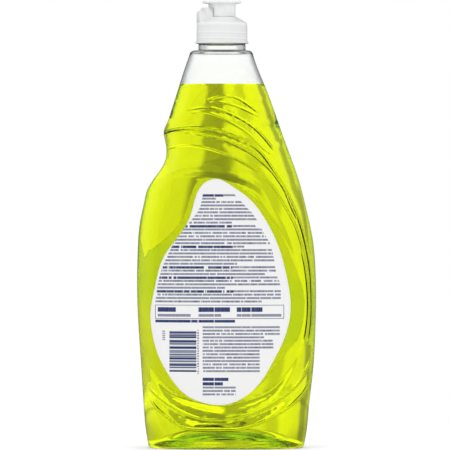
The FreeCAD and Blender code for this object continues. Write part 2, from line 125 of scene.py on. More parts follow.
# Fine raised lines that only the looks carry: (points in shares, half width, height), millimetres
FINE_LINES = [
    ([(-0.54, 0.795), (-0.379, 0.79), (-0.222, 0.783), (-0.054, 0.774), (0.103, 0.759), (0.26, 0.74),
      (0.372, 0.721), (0.48, 0.699), (0.563, 0.675), (0.642, 0.648), (0.694, 0.619), (0.765, 0.583),
      (0.81, 0.564)], 0.9, 0.4),
    ([(-0.637, 0.682), (-0.525, 0.692), (-0.435, 0.697), (-0.301, 0.7), (-0.166, 0.699), (-0.009, 0.692),
      (0.148, 0.681), (0.283, 0.666), (0.395, 0.647)], 1, 0.22),
    ([(0.866, 0.522), (0.922, 0.459), (0.944, 0.396), (0.944, 0.321), (0.9, 0.258)], 0.9, 0.3),
    ([(0.821, 0.51), (0.877, 0.447), (0.905, 0.384), (0.9, 0.321), (0.855, 0.258)], 0.9, 0.26),
    ([(-0.57, 0.864), (-0.502, 0.867), (-0.446, 0.866)], 0.8, 0.25),
    ([(-0.57, 0.851), (-0.502, 0.855), (-0.446, 0.854)], 0.8, 0.25),
    ([(0.832, 0.177), (0.855, 0.154), (0.776, 0.127)], 1, 0.35),
]

# Creases as fine as the mesh can't carry: (points in shares, share of full strength)
CREASES = [
    (SWOOSH_TOP, 1), (FINE_LINES[0][0], 1), (LEAF_TOP, 1), (LEAF_BOTTOM, 0.6), (TIP_TOP, 0.9),
    (TIP_BOTTOM, 0.9), (SWOOSH_BOTTOM, 0.7), (RING_BOTTOM, 0.5), (SKIRTING, 0.8), (FINE_LINES[2][0], 0.8),
    (FINE_LINES[3][0], 0.8),
]

# Painted highlights and painted shade on the closure's skirt: light and dark bands over its inner thread,
# and a painted highlight at the foot of its dome, in millimetres: (height, half width, change of tone)
PAINTED_THREAD_SHADING = [
    (266, 0.9, 0.1), (263.6, 0.6, -0.07), (262.2, 0.5, -0.05), (260.4, 0.35, 0.09), (259.6, 0.6, -0.09),
    (257.9, 0.5, -0.06), (257, 0.35, 0.09), (256.2, 0.6, -0.09),
]
# Lean of the painted highlight and shade bands, following the thread
THREAD_LEAN = 0.02

# The print's field of text on the back label: (height, left, right) in millimetres
TEXT_EDGES = [
    (90, -44.7, 33.6), (101.9, -43.2, 33.6), (109.4, -41.5, 30.8), (116.1, -39, 29.8),
    (122.2, -36.2, 28.7), (128.5, -33.1, 26.9), (132.7, -30.5, 24.2), (138.6, -26, 20.9),
    (143.2, -21.6, 18.5), (147.4, -18.4, 15.5), (151.5, -16.3, 11.5), (158.9, -14.8, 4.6),
]

# The smaller text on the back label: (left, right, bottom, top, first row's top, pitch, bold, filled share)
TEXT_BLOCKS = [
    (-43, -31.7, 85.6, 88.5, 88.5, 3.2, 1, 0.76), (-43, -22.4, 82.4, 84.3, 84.3, 2.4, 0, 0.7),
    (-17.9, 2, 85.6, 88.5, 88.5, 3.2, 1, 0.76), (-17.9, -3.5, 82.4, 84.3, 84.3, 2.4, 0, 0.7),
    (6.2, 22.2, 85.6, 88.5, 88.5, 3.2, 1, 0.76), (6.2, 34, 82.4, 84.3, 84.3, 2.4, 0, 0.7),
    (-44.5, 5.1, 78.7, 80.7, 80.7, 2.4, 1, 0.58),
    (-18.4, -17.3, 47, 74.6, 74.6, 1.6, 0, 0.6), (-40.1, -38.4, 67.4, 73.9, 73.9, 1.3, 0, 0.6),
    (-15, 33, 70.4, 76.7, 76.7, 2.1, 0, 0.58), (-15, 23.2, 68.3, 70.4, 76.7, 2.1, 0, 0.58),
    (-15, 29, 62, 68.3, 76.7, 2.1, 0, 0.58), (-15, 20.5, 57.8, 62, 76.7, 2.1, 0, 0.58),
    (-15, 20.5, 47.3, 57.8, 76.7, 2.1, 0, 0.58), (-15, 1, 42.6, 44.7, 44.7, 2.8, 1, 0.58),
    (-15, -2.4, 39.8, 41.9, 41.9, 2.8, 1, 0.58), (-15, 5.6, 32.8, 39.2, 39.2, 2.13, 0, 0.58),
]

# Its outlined box and its block of stripes: (left, right, bottom, top)
BOX = (-44.7, 35.7, 81.3, 90)
STRIPES = (-35.7, -18.9, 48.3, 73.9)

# Rise of the front label's field for each metre to the left
FIELD_LEAN = 0.35


def settings():
    """The values that the panel shows."""
    return bpy.context.scene.soap_bottle


# Curves and fields worked out as whole arrays

def spline(knots, at):
    """Natural cubic spline: the bends at the knots solve one tridiagonal system; each span is a cubic."""
    t = np.array([k[0] for k in knots], float)
    v = np.array([k[1] for k in knots], float)
    step = np.diff(t)
    count = len(t)
    system = np.eye(count)
    inner = np.arange(1, count - 1)
    system[inner, inner - 1] = step[:-1]
    system[inner, inner] = 2 * (step[:-1] + step[1:])
    system[inner, inner + 1] = step[1:]
    turn = np.zeros(count)
    turn[1:-1] = 6 * np.diff(np.diff(v) / step)
    bend = np.linalg.solve(system, turn)
    at = np.asarray(at, float)
    i = np.clip(np.searchsorted(t, at, side="left") - 1, 0, count - 2)
    a = (t[i + 1] - at) / step[i]
    b = (at - t[i]) / step[i]
    bow = ((a ** 3 - a) * bend[i] + (b ** 3 - b) * bend[i + 1]) * step[i] ** 2 / 6
    return a * v[i] + b * v[i + 1] + bow


def smooth_step(t):
    """3t² - 2t³ between 0 and 1, level outside."""
    t = np.clip(t, 0, 1)
    return t * t * (3.0 - 2.0 * t)


def face_line(shares, steps=8):
    """Points along a smooth line on the face: both coordinates are splines of the point's number."""
    size = settings()
    last = len(shares) - 1
    at = np.linspace(0, last, last * steps + 1)
    x = spline([(k, s[0]) for k, s in enumerate(shares)], at) * size.body_width / 2
    z = spline([(k, s[1]) for k, s in enumerate(shares)], at) * size.body_height
    return np.stack([x, z], axis=1)


def line_field(line, x, z):
    """For each point: distance to the line, its side of it, its share along, whether it is past an end."""
    a = line[:-1]
    u = line[1:] - a
    wx = x.reshape(-1, 1) - a[:, 0]
    wz = z.reshape(-1, 1) - a[:, 1]
    share = (wx * u[:, 0] + wz * u[:, 1]) / (u ** 2).sum(1)
    held = np.clip(share, 0, 1)
    square = (wx - held * u[:, 0]) ** 2 + (wz - held * u[:, 1]) ** 2
    best = square.argmin(1)
    pick = (np.arange(len(best)), best)
    side = np.sign(u[best, 0] * wz[pick] - u[best, 1] * wx[pick])
    past = ((best == 0) & (share[pick] < 0)) | ((best == len(a) - 1) & (share[pick] > 1))
    along = (best + held[pick]) / len(a)
    shape = x.shape
    return (np.sqrt(square[pick]).reshape(shape), side.reshape(shape),
            along.reshape(shape), past.reshape(shape))


def hollow_between(first, second, depth, x, z, peak=0.16, full_width=7.0 * MM):
    """A hollow between two lines: smooth steps up to its deepest at `peak` of the way across, and back."""
    d1, side1, _, past1 = line_field(face_line(first), x, z)
    d2, side2, _, past2 = line_field(face_line(second), x, z)
    across = d1 + d2
    share = d1 / np.maximum(across, 1e-9)
    shape = np.where(share < peak, smooth_step(share / peak), smooth_step((1 - share) / (1 - peak)))
    outside = (side1 > 0) | (side2 < 0) | (past1 & past2)
    return np.where(outside, 0, depth * shape * np.minimum(1, across / full_width))


def raised_line(points, half_width, height, x, z):
    """A fine ridge: a bell curve across the line, fading out over a tenth of its length at each end."""
    away, _, along, _ = line_field(face_line(points), x, z)
    ends = smooth_step(along * 10) * smooth_step((1 - along) * 10)
    return height * ends * np.exp(-(away / half_width) ** 2)


def relief(x, z, far=0.0):
    """How far the face lies inside its plain form: hollows, panel step and fine lines added up."""
    size = settings()
    pairs = ((SWOOSH_TOP, SWOOSH_BOTTOM, size.swoosh_depth), (LEAF_TOP, LEAF_BOTTOM, size.leaf_depth),
             (TIP_TOP, TIP_BOTTOM, size.tip_depth), (RING_BOTTOM[::-1], SKIRTING[::-1], size.skirting_depth))
    total = sum(hollow_between(*pair, x, z) for pair in pairs) * (1 - far * (1 - size.far_share))
    away, side, _, _ = line_field(face_line(PANEL_OUTLINE + PANEL_OUTLINE[:1]), x, z)
    rim = size.panel_edge * (1 + far * (size.far_rim - 1))
    total += size.panel_recess * smooth_step(-side * away / rim + 0.5)
    for points, half_width, height in FINE_LINES:
        total -= (1 - far) * raised_line(points, half_width * MM, height * MM, x, z)
    return total


def crease_field(points, line, strength, reach=3.0 * MM):
    """For each point of the near face: signed distance from one crease, its strength there, and nothing."""
    x, y, z = points.T
    field = np.zeros((len(points), 3))
    field[:, 0] = reach
    near = np.flatnonzero(y < 0)
    away, side, along, _ = line_field(face_line(line, 4), x[near], z[near])
    field[near, 0] = np.clip(away * np.where(side < 0, -1, 1), -reach, reach)
    field[near, 1] = strength * smooth_step(along * 8) * smooth_step((1 - along) * 8)
    return field


def section(z, inset):
    """Middle, half width, half depth and squareness of the body at each height."""
    size = settings()
    share = np.asarray(z, float) / size.body_height
    left = -spline(LEFT_EDGE, share) * size.body_width / 2
    right = spline(RIGHT_EDGE, share) * size.body_width / 2
    deep = spline(DEPTH_EDGE, share) * size.body_depth / 2
    return (left + right) / 2, (right - left) / 2 - inset, deep - inset, spline(SQUARENESS, share)


def girth_angles(columns):
    """Angles round a middle section, spaced evenly along its girth."""
    fine = np.linspace(0, 2 * np.pi, 4001)
    c, s = np.cos(fine), np.sin(fine)
    _, wide, deep, square = section(settings().body_height * 0.4, 0)
    reach = (abs(c) ** square + abs(s) ** square) ** (-1 / square)
    x, y = wide * reach * c, deep * reach * s
    girth = np.concatenate([[0], np.cumsum(np.hypot(np.diff(x), np.diff(y)))])
    return np.interp(np.arange(columns) / columns * girth[-1], girth, fine)


def body_rings(levels, cut_z, inset, pull, angles, share=1.0, relieved=False):
    """Closed level rings: superellipses drawn in by `pull` and scaled by `share`, with relief."""
    levels, cut_z, pull, share = np.broadcast_arrays(*map(np.atleast_1d, (levels, cut_z, pull, share)))
    middle, wide, deep, square = (v[:, None] for v in section(cut_z, inset))
    c, s = np.cos(angles)[None, :], np.sin(angles)[None, :]
    reach = (abs(c) ** square + abs(s) ** square) ** (-1 / square)
    x = middle + (wide - pull[:, None]) * share[:, None] * reach * c
    y = (deep - pull[:, None]) * share[:, None] * reach * s
    z = levels[:, None] + np.zeros_like(x)
    if relieved:
        y = y * (1 - relief(x, z, (s > 0) + np.zeros_like(x)) / deep)
    return np.stack([x, y, z], axis=2)


def round_rings(profile, angles):
    """Rings about the neck's axis through (radius, height) pairs."""
    r = np.array([p[0] for p in profile], float)[:, None]
    z = np.array([p[1] for p in profile], float)[:, None]
    x = settings().neck_offset + r * np.cos(angles)
    return np.stack([x, r * np.sin(angles), z + np.zeros_like(x)], axis=2)


def cut_corners(corners, edge):
    """A profile with its corners cut off by `edge`, and a point as far again on each side of a cut."""
    corners = np.array(corners)
    steps = np.diff(corners, axis=0)
    ways = steps / np.linalg.norm(steps, axis=1)[:, None]
    back, on = -ways[:-1, None], ways[1:, None]
    cuts = corners[1:-1, None] + edge * np.concatenate([2 * back, back, on, 2 * on], axis=1)
    return np.concatenate([corners[:1], cuts.reshape(-1, 2), corners[-1:]])


def wall_levels(bottom, top, coarse):
    """Heights of the wall's rings: close together where the relief is, wider where the wall is plain."""
    knots = np.array([0, 18, 66, 84, 132, 142, 222, 232, 260]) * MM
    spacing = np.array([1.6, 1.2, 1.5, 3, 2.6, 1, 1, 2.2, 2.2]) * MM * coarse
    fine = np.linspace(bottom, top, 4001)
    steps = np.interp(fine, knots, spacing)
    count = np.concatenate([[0], np.cumsum(np.diff(fine) / steps[:-1])])
    rings = int(round(count[-1]))
    return np.interp(np.linspace(0, count[-1], rings + 1), count, fine)


def foot_rings(inset, angles, arc_steps, dome_shares):
    """Rings from the middle of the pushed-up base, down its dome, over the foot ring and up the heel."""
    size = settings()
    shares = np.asarray(dome_shares, float)
    dome = body_rings(inset + size.push_up * (1 - shares ** 3), size.heel_round, 0,
                      size.heel_round + size.foot_ring - inset, angles, shares)
    heel = size.heel_round - inset
    turn = np.linspace(np.pi / 2, 0, arc_steps + 1)[:-1]
    arc = body_rings(size.heel_round - heel * np.sin(turn), size.heel_round, inset,
                     heel * (1 - np.cos(turn)), angles)
    return [dome, arc]


def crown_rings(inset, angles, arc_steps):
    """Rings over the shoulder's rounded rim, from just above the wall to its flat top."""
    size = settings()
    shoulder_z = size.body_height - size.shoulder_round
    turn = np.linspace(0, np.pi / 2, arc_steps + 1)[1:]
    rise = size.body_height - inset - shoulder_z
    return body_rings(shoulder_z + rise * np.sin(turn), shoulder_z, inset,
                      size.shoulder_inset * (1 - np.cos(turn)), angles)


def neck_outside(angles):
    """The collar and the finish with its screw thread: a ridge in r wherever z meets the helix."""
    size = settings()
    foot = size.body_height
    collar_top = foot + size.collar_height
    lip = foot + size.lip_height
    edge = size.lip_round
    wide, narrow = size.collar_radius, size.finish_radius
    turn = np.linspace(0, np.pi / 2, 5)
    inward, down = edge * (1 - np.cos(turn)), edge * (1 - np.sin(turn))
    collar = [(wide + edge * 1.2, foot), (wide + edge / 2, foot), (wide, foot + edge / 2),
              (wide, foot + edge * 1.2), (wide, foot + 2.0 * MM), (wide, foot + 2.8 * MM),
              *zip(wide - inward, collar_top - down),
              (narrow + 0.5 * MM, collar_top), (narrow + 0.1 * MM, collar_top + 0.1 * MM)]
    heights = np.linspace(collar_top + 0.5 * MM, lip - edge, 42)
    finish = round_rings([(narrow, z) for z in heights], angles)
    rise = size.thread_start + size.thread_pitch * angles / (2 * np.pi) + foot
    flank = (size.thread_foot - size.thread_crest) / 2
    ridge = np.zeros(finish.shape[:2])
    for lap in (0, 1):
        away = abs(heights[:, None] - (rise + lap * size.thread_pitch)[None, :])
        body = np.clip((size.thread_foot / 2 - away) / flank, 0, 1)
        share = (angles / (2 * np.pi) + lap) / size.thread_turns
        ends = smooth_step(share * THREAD_FADE) * smooth_step((1 - share) * THREAD_FADE)
        ridge = np.maximum(ridge, smooth_step(body) * ends * size.thread_reach)
    r = narrow + ridge
    finish[:, :, 0] = size.neck_offset + r * np.cos(angles)
    finish[:, :, 1] = r * np.sin(angles)
    top = [*zip(narrow - inward[1:], lip - down[1:])]
    return [round_rings(collar, angles), finish, round_rings(top, angles)]


def neck_inside(angles):
    """The bore from the lip down, widening under a ledge to the collar and the ceiling of the body."""
    size = settings()
    lip = size.body_height + size.lip_height
    collar_top = size.body_height + size.collar_height
    collar_bore = size.collar_radius - size.collar_wall
    ceiling = size.body_height - size.body_wall
    ledge = collar_top - size.body_wall
    edge = 0.2 * MM
    return round_rings(cut_corners([
        (size.bore_radius + 4 * edge, lip), (size.bore_radius, lip), (size.bore_radius, ledge),
        (collar_bore, ledge), (collar_bore, ceiling), (collar_bore + 4 * edge, ceiling)], edge), angles)


# Meshes from grids

def ring_mesh(name, rings):
    """One closed mesh from rings of equal count, with a pole at each end, faces pointing outwards."""
    rows = np.concatenate(rings, axis=0)
    count, columns = rows.shape[:2]
    points = np.concatenate([rows.reshape(-1, 3), rows[0].mean(0)[None], rows[-1].mean(0)[None]])
    i = np.arange(count - 1)[:, None] * columns
    j = np.arange(columns)[None, :]
    k = (j + 1) % columns
    quads = np.stack([i + j, i + k, i + columns + k, i + columns + j], axis=2).reshape(-1, 4)
    first, last = count * columns, count * columns + 1
    j, k = j[0], k[0]
    end = (count - 1) * columns
    fans = np.concatenate([
        np.stack([np.full(columns, first), k, j], axis=1),
        np.stack([np.full(columns, last), end + j, end + k], axis=1),
    ])
    return mesh_object(name, points, quads, fans)


def mesh_object(name, points, quads, triangles=None):
    """An object from whole arrays; the sign of its volume says whether the faces are turned round."""
    triangles = np.zeros((0, 3), int) if triangles is None else triangles
    split = np.concatenate([quads[:, [0, 1, 2]], quads[:, [0, 2, 3]], triangles])
    a, b, c = (points[split[:, n]] for n in range(3))
    if (a * np.cross(b, c)).sum() < 0:
        quads, triangles = quads[:, ::-1], triangles[:, ::-1]
    loops = np.concatenate([quads.ravel(), triangles.ravel()]).astype(np.int32)
    starts = np.concatenate([np.arange(len(quads)) * 4, len(quads) * 4 + np.arange(len(triangles)) * 3])
    mesh = bpy.data.meshes.new(name)
    mesh.vertices.add(len(points))
    mesh.vertices.foreach_set("co", points.astype(np.float32).ravel())
    mesh.loops.add(len(loops))
    mesh.loops.foreach_set("vertex_index", loops)
    mesh.polygons.add(len(starts))
    mesh.polygons.foreach_set("loop_start", starts.astype(np.int32))
    mesh.polygons.foreach_set("use_smooth", np.ones(len(starts), bool))
    mesh.update(calc_edges=True)
    if mesh.validate():
        raise RuntimeError(name + " has faulty faces")
    piece = bpy.data.objects.new(name, mesh)
    bpy.context.scene.collection.objects.link(piece)
    return piece


def add_attribute(piece, name, values):
    """Stores one number, or three, for each point, which a material reads."""
    values = np.asarray(values, np.float32)
    kind, key = ("FLOAT", "value") if values.ndim == 1 else ("FLOAT_VECTOR", "vector")
    piece.data.attributes.new(name, kind, "POINT").data.foreach_set(key, values.ravel())


def mesh_points(piece):
    """The piece's points as rows of x, y, z."""
    points = np.empty(len(piece.data.vertices) * 3, np.float32)
    piece.data.vertices.foreach_get("co", points)
    return points.reshape(-1, 3).astype(float)


def smooth_copy(node, name):
    """A copy of a frame node with its loose triangles merged and its gentle edges shaded smooth."""
    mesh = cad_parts[node].data.copy()
    mesh.name = name
    mesh.materials.clear()
    work = bmesh.new()
    work.from_mesh(mesh)
    bmesh.ops.remove_doubles(work, verts=work.verts, dist=MERGE_DISTANCE)
    work.to_mesh(mesh)
    work.free()
    mesh.polygons.foreach_set("use_smooth", np.ones(len(mesh.polygons), bool))
    mesh.set_sharp_from_angle(angle=SHARP_ANGLE)
    piece = bpy.data.objects.new(name, mesh)
    bpy.context.scene.collection.objects.link(piece)
    return piece


def place(piece, node, body, slot, material):
    """Puts a finished piece on its body, in its node's place, with its finish."""
    piece.data.materials.append(material)
    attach(piece, body)
    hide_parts(node)


# Materials

class Nodes:
    """A short way to write a node tree: most methods add a node and give what it puts out."""

    def __init__(self, tree):
        self.tree = tree

    def add(self, kind, **values):
        """A node with its settings and inputs."""
        node = self.tree.nodes.new(kind if kind.startswith("NodeGroup") else "ShaderNode" + kind)
        inputs = values.pop("inputs", {})
        for key, value in values.items():
            setattr(node, key, value)
        for key, value in inputs.items():
            self.set(node, key, value)
        return node

    def set(self, node, key, value):
        """Links a socket to an input, or gives the input a plain value."""
        if isinstance(value, bpy.types.NodeSocket):
            self.tree.links.new(value, node.inputs[key])
        else:
            node.inputs[key].default_value = value

    def math(self, operation, a, b=0.0, clamp=False):
        return self.add("Math", operation=operation, use_clamp=clamp, inputs={0: a, 1: b}).outputs[0]

    def times(self, a, b):
        return self.math("MULTIPLY", a, b)

    def plus(self, a, b):
        return self.math("ADD", a, b)

    def minus(self, a, b):
        return self.math("SUBTRACT", a, b)

    def larger(self, a, b):
        return self.math("MAXIMUM", a, b)

    def ramp(self, value, low, high, to_low=0.0, to_high=1.0, kind="SMOOTHSTEP"):
        """The value's range mapped to another, smoothly or as a straight line."""
        node = self.add("MapRange", interpolation_type=kind, inputs={
            "Value": value, "From Min": low, "From Max": high, "To Min": to_low, "To Max": to_high})
        return node.outputs["Result"]

    def pick(self, factor, a, b):
        """a where the factor is 0, b where it is 1."""
        return self.add("Mix", data_type="FLOAT", inputs={0: factor, 2: a, 3: b}).outputs[0]

    def mix(self, factor, a, b):
        """A mix of two colours."""
        return self.add("Mix", data_type="RGBA", inputs={0: factor, 6: a, 7: b}).outputs[2]

    def blend(self, factor, first, second):
        """A mix of two shaders."""
        return self.add("MixShader", inputs={0: factor, 1: first, 2: second}).outputs[0]

    def stops(self, value, low, high, levels, kind="EASE"):
        """A level for each value, eased or held between (value, level) stops."""
        node = self.add("ValToRGB", inputs={0: self.ramp(value, low, high, kind="LINEAR")})
        elements = node.color_ramp.elements
        node.color_ramp.interpolation = kind
        while len(elements) < len(levels):
            elements.new(0.5)
        for element, (at, level) in zip(elements, levels):
            element.position = (at - low) / (high - low)
            element.color = (level, level, level, 1)
        return node.outputs[0]

    def spot(self):
        """The point in the piece's own coordinates."""
        return self.add("TexCoord").outputs["Object"]

    def split(self, vector):
        """A vector's x, y and z."""
        return self.add("SeparateXYZ", inputs={0: vector}).outputs

    def stored(self, name, output="Fac"):
        """An attribute of the mesh."""
        return self.add("Attribute", attribute_name=name).outputs[output]

    def noise(self, vector, scale, detail):
        node = self.add("TexNoise", inputs={"Vector": vector, "Scale": scale, "Detail": detail})
        return node.outputs["Fac"]

    def bump(self, height, strength, distance, **normal):
        """A normal bent by a height, from the plain normal or a given one."""
        node = self.add("Bump", inputs={
            "Height": height, "Strength": strength, "Distance": distance, **normal})
        return node.outputs["Normal"]


def new_material(name, plain):
    """An empty material with its Principled shader, set to plain values, and its output."""
    material = bpy.data.materials.new(name)
    material.use_nodes = True
    nodes = Nodes(material.node_tree)
    material.node_tree.nodes.clear()
    output = nodes.add("OutputMaterial")
    shader = nodes.add("BsdfPrincipled", inputs=plain)
    nodes.set(output, "Surface", shader.outputs[0])
    return material, nodes, shader, output


def moulded_surface():
    """Group for moulded plastic: slight waves as a normal, and roughness that wanders a little."""
    name = "Moulded surface"
    if name in bpy.data.node_groups:
        return bpy.data.node_groups[name]
    group = bpy.data.node_groups.new(name, "ShaderNodeTree")
    for label, usual in (("Scale", 60), ("Wave", 0.02), ("Roughness", 0.1), ("Wander", 0.05)):
        socket = group.interface.new_socket(label, in_out="INPUT", socket_type="NodeSocketFloat")
        socket.default_value = usual
    group.interface.new_socket("Roughness", in_out="OUTPUT", socket_type="NodeSocketFloat")
    group.interface.new_socket("Normal", in_out="OUTPUT", socket_type="NodeSocketVector")
    nodes = Nodes(group)
    given = nodes.add("NodeGroupInput").outputs
    out = nodes.add("NodeGroupOutput")
    waves = nodes.noise(nodes.spot(), given["Scale"], 2)
    grain = nodes.noise(nodes.spot(), GRAIN_SCALE, 3)
    change = nodes.times(nodes.minus(grain, 0.5), given["Wander"])
    nodes.set(out, "Roughness", nodes.math("ADD", given["Roughness"], change, clamp=True))
    nodes.set(out, "Normal", nodes.bump(waves, given["Wave"], MM))
    return group


def add_surface(nodes, shader, scale, wave, roughness, wander):
    """Feeds a shader's roughness and normal from the moulded surface group, and gives the normal."""
    group = nodes.add("Group", node_tree=moulded_surface(), inputs={
        "Scale": scale, "Wave": wave, "Roughness": roughness, "Wander": wander})
    nodes.set(shader, "Roughness", group.outputs["Roughness"])
    nodes.set(shader, "Normal", group.outputs["Normal"])
    return group.outputs["Normal"]


def clear_plastic():
    """Clear blown plastic, with the sculpture's crisp creases as a bump on the stored distances."""
    material, nodes, shader, _ = new_material("clear_blown_plastic", {
        "Base Color": (0.99, 1, 0.995, 1), "IOR": 1.57, "Transmission Weight": 1.0})
    normal = add_surface(nodes, shader, scale=45.0, wave=0.05, roughness=0.02, wander=0.02)
    height = 0
    for number in range(len(CREASES)):
        away, strength, _ = nodes.split(nodes.stored(f"crease_{number}", "Vector"))
        ridge = nodes.ramp(nodes.math("ABSOLUTE", away), 0, CREASE_WIDTH, 1, 0)
        height = nodes.larger(height, nodes.times(ridge, strength))
    nodes.set(shader, "Normal", nodes.bump(height, 1, CREASE_HEIGHT, Normal=normal))
    return material


def soap_liquid():
    """Clear yellow-green liquid, coloured by what it absorbs along the way."""
    look = settings()
    material, nodes, _, output = new_material("dish_soap_liquid", {
        "Base Color": (1, 1, 1, 1), "Roughness": 0, "IOR": 1.36, "Transmission Weight": 1.0})
    volume = nodes.add("VolumeAbsorption", inputs={
        "Color": (*look.liquid_colour, 1), "Density": look.liquid_density})
    nodes.set(output, "Volume", volume.outputs[0])
    return material


def painted_thread_shading(nodes):
    """Painted highlights and painted shade on the closure: a factor round 1 that lightens and darkens bands
    over its inner thread and lightens the foot of its dome.
    """
    x, _, z = nodes.split(nodes.spot())
    height = nodes.plus(nodes.times(z, 1 / MM), nodes.times(x, THREAD_LEAN / MM))
    factor = 1
    for middle, half, change in PAINTED_THREAD_SHADING:
        away = nodes.math("ABSOLUTE", nodes.minus(height, middle))
        factor = nodes.plus(factor, nodes.ramp(away, 0, half, change, 0))
    return factor


def milky_plastic(name, colour, transmission, roughness, painted_shading=False):
    """Natural, unpigmented moulded plastic: milky, satin, letting light through; optionally with painted
    highlights and painted shade in bands over its thread.
    """
    material, nodes, shader, _ = new_material(name, {"IOR": 1.49, "Transmission Weight": transmission})
    tone_and_painted_shading = nodes.ramp(nodes.noise(nodes.spot(), CLOUD_SCALE, 3), 0.3, 0.7, 0.98, 1.03)
    if painted_shading:
        # Painted highlights and painted shade: light and dark bands over the thread, multiplied into the
        # random tone
        tone_and_painted_shading = nodes.times(tone_and_painted_shading, painted_thread_shading(nodes))
    tinted = nodes.add("VectorMath", operation="SCALE", inputs={0: colour, "Scale": tone_and_painted_shading})
    nodes.set(shader, "Base Color", tinted.outputs[0])
    add_surface(nodes, shader, scale=220.0, wave=0.08, roughness=roughness, wander=0.06)
    return material


def foam():
    """White closed-cell foam: matt, with fine pores, coloured darker in their pits as painted shade."""
    material, nodes, shader, _ = new_material("washer_foam_white", {"Roughness": 0.8})
    pores = nodes.add("TexVoronoi", inputs={"Vector": nodes.spot(), "Scale": PORE_SCALE})
    depth = pores.outputs["Distance"]
    # Painted shade: the pits of the pores are coloured darker, from the same field that bumps them
    colour = nodes.mix(nodes.ramp(depth, 0, 0.5), (0.62, 0.62, 0.6, 1), (0.88, 0.88, 0.86, 1))
    nodes.set(shader, "Base Color", colour)
    nodes.set(shader, "Normal", nodes.bump(depth, 0.3, 0.1 * MM))
    return material


class Print:
    """Greeked print on the label: plain bars where a label has its text, on x and z in millimetres."""

    rows = 32
    row_pitch = 2.132
    text_top = 158.8
    bold_rows = (0, 9, 15, 21, 24, 28)
    bold_reach = 0.62
    row_ends = ((0, 1), (1, 0.38), (2, 1), (8, 0.62), (9, 0.94), (10, 1), (15, 0.73), (16, 1),
                (20, 0.66), (21, 1), (23, 0.9), (24, 1), (27, 0.55), (28, 1), (31, 0.85))
    word_scale = 0.7
    letter_scale = 3.2
    row_step = 7.3
    stripe_scale = 0.75

    def __init__(self, nodes):
        self.nodes = nodes
        x, _, z = nodes.split(nodes.spot())
        self.x, self.z = nodes.times(x, 1 / MM), nodes.times(z, 1 / MM)
        self.coverage = 0

    def within(self, value, low, high):
        """1 where the value lies between the limits."""
        return self.nodes.add("Math", operation="COMPARE", inputs={
            0: value, 1: (low + high) / 2, 2: (high - low) / 2}).outputs[0]

    def block(self, left, right, bottom, top):
        """1 inside a rectangle."""
        return self.nodes.times(self.within(self.x, left, right), self.within(self.z, bottom, top))

    def lay(self, mask, strength):
        """Adds a mask to the print, at a share of full ink."""
        self.coverage = self.nodes.larger(self.coverage, self.nodes.times(mask, strength))

    def noise(self, row, scale):
        """Noise that changes along a row and from row to row."""
        where = self.nodes.add("CombineXYZ", inputs={
            0: self.nodes.times(self.x, scale), 1: self.nodes.times(row, self.row_step)})
        return self.nodes.noise(where.outputs[0], 1, 1)

    def text(self, mask, top, pitch, bold, filled=0.58):
        """Rows of word-like bars inside a mask; bold rows are taller and have more ink."""
        nodes = self.nodes
        place = nodes.math("DIVIDE", nodes.minus(top, self.z), pitch)
        row = nodes.math("FLOOR", place)
        height = nodes.pick(bold, filled, filled + 0.14)
        inked = nodes.math("LESS_THAN", nodes.math("FRACT", place), height)
        words = nodes.ramp(self.noise(row, self.word_scale), 0.33, 0.37)
        letters = nodes.ramp(self.noise(row, self.letter_scale), 0.3, 0.7, 0.5, 0.9)
        ink = nodes.pick(bold, letters, nodes.math("ADD", letters, 0.3, clamp=True))
        self.lay(nodes.times(mask, nodes.times(inked, words)), ink)

    def main_text(self):
        """The paragraphs, as wide as the label lets them be, with bold first rows and short last rows."""
        nodes = self.nodes
        place = nodes.math("DIVIDE", nodes.minus(self.text_top, self.z), self.row_pitch)
        bold_stops = [(row + after, 1 - after) for row in self.bold_rows for after in (0, 1)]
        bold = nodes.stops(place, 0, self.rows, bold_stops, "CONSTANT")
        ends = nodes.stops(place, 0, self.rows, self.row_ends, "CONSTANT")
        share = nodes.stored("text_share")
        mask = nodes.times(nodes.math("GREATER_THAN", nodes.stored("text_inset"), 0),
                           nodes.math("LESS_THAN", share, ends))
        text_bottom = self.text_top - self.rows * self.row_pitch
        mask = nodes.times(mask, self.within(self.z, text_bottom, self.text_top))
        lead = nodes.times(bold, nodes.math("LESS_THAN", share, self.bold_reach))
        self.text(mask, self.text_top, self.row_pitch, lead)

    def box(self, left, right, bottom, top, line=0.42):
        """An outlined box."""
        inside = self.block(left + line, right - line, bottom + line, top - line)
        self.lay(self.nodes.minus(self.block(left, right, bottom, top), inside), 0.8)

    def stripes(self, left, right, bottom, top):
        """A block of plain level stripes of uneven width."""
        nodes = self.nodes
        where = nodes.add("CombineXYZ", inputs={2: nodes.times(self.z, self.stripe_scale)})
        ink = nodes.ramp(nodes.noise(where.outputs[0], 1, 2), 0.44, 0.54, 0.15, 1)
        self.lay(self.block(left, right, bottom, top), ink)


def add_print(nodes):
    """Lays the back label's print and gives its ink, 0 to 1."""
    sheet = Print(nodes)
    sheet.main_text()
    sheet.box(*BOX)
    sheet.stripes(*STRIPES)
    for left, right, bottom, top, start, pitch, bold, filled in TEXT_BLOCKS:
        sheet.text(sheet.block(left, right, bottom, top), start, pitch, bold, filled)
    return sheet.coverage


def add_front_field(nodes):
    """The front label's plain design: one broad leaning field with soft edges, 0 to 1."""
    x, _, z = nodes.split(nodes.spot())
    height = nodes.plus(z, nodes.times(x, FIELD_LEAN))
    return nodes.times(nodes.ramp(height, 0.074, 0.078), nodes.ramp(height, 0.116, 0.118, 1, 0))


